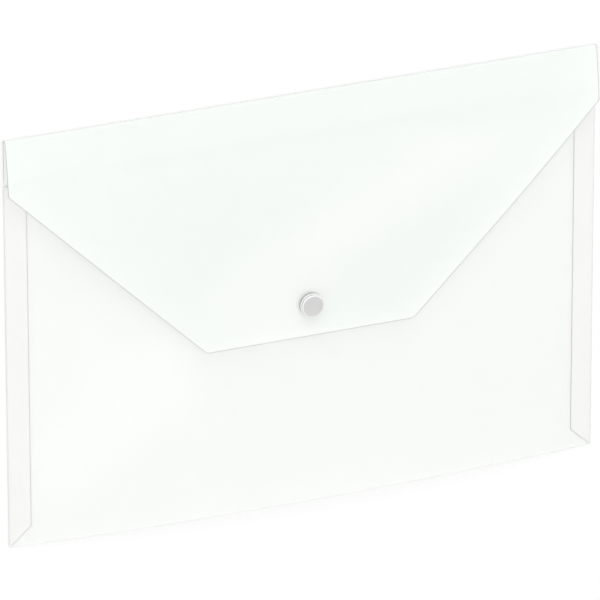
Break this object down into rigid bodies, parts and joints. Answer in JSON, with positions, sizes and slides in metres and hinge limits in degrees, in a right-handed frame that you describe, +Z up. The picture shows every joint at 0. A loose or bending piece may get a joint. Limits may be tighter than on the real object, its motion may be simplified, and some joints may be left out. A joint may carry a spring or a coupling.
{
  "type": "document wallet",
  "caption": "Clear polypropylene document wallet: a folded pocket with welded side tabs and a tapered flap that hinges at its top crease and closes with a round snap.",
  "frame": {"origin": "on the surface that the wallet lies on, below the middle of its box", "axes": "+X along the width, +Y towards the top crease, +Z up through the front"},
  "size_m": [0.335, 0.238, 0.0161],
  "materials": {
    "clear_sheet": "milky clear polypropylene sheet, fine satin grain with a soft gloss",
    "snap_plastic": "natural moulded polypropylene, smooth"
  },
  "bodies": {
    "pocket": {"back_panel": "clear_sheet", "front_panel": "clear_sheet", "bottom_fold": "clear_sheet", "left_side_fold": "clear_sheet", "right_side_fold": "clear_sheet", "left_side_tab": "clear_sheet", "right_side_tab": "clear_sheet", "flap_crease": "clear_sheet", "snap_stud": "snap_plastic", "snap_backing": "snap_plastic"},
    "flap": {"closure_flap": "clear_sheet", "snap_cap": "snap_plastic", "snap_socket": "snap_plastic"}
  },
  "joints": [
    {"name": "flap_hinge", "type": "hinge", "parent": "pocket", "child": "flap", "pos_m": [0, 0.1174, 0.0016], "axis": [-1, 0, 0], "range_deg": [0, 170], "deforming": ["flap_crease"]}
  ]
}
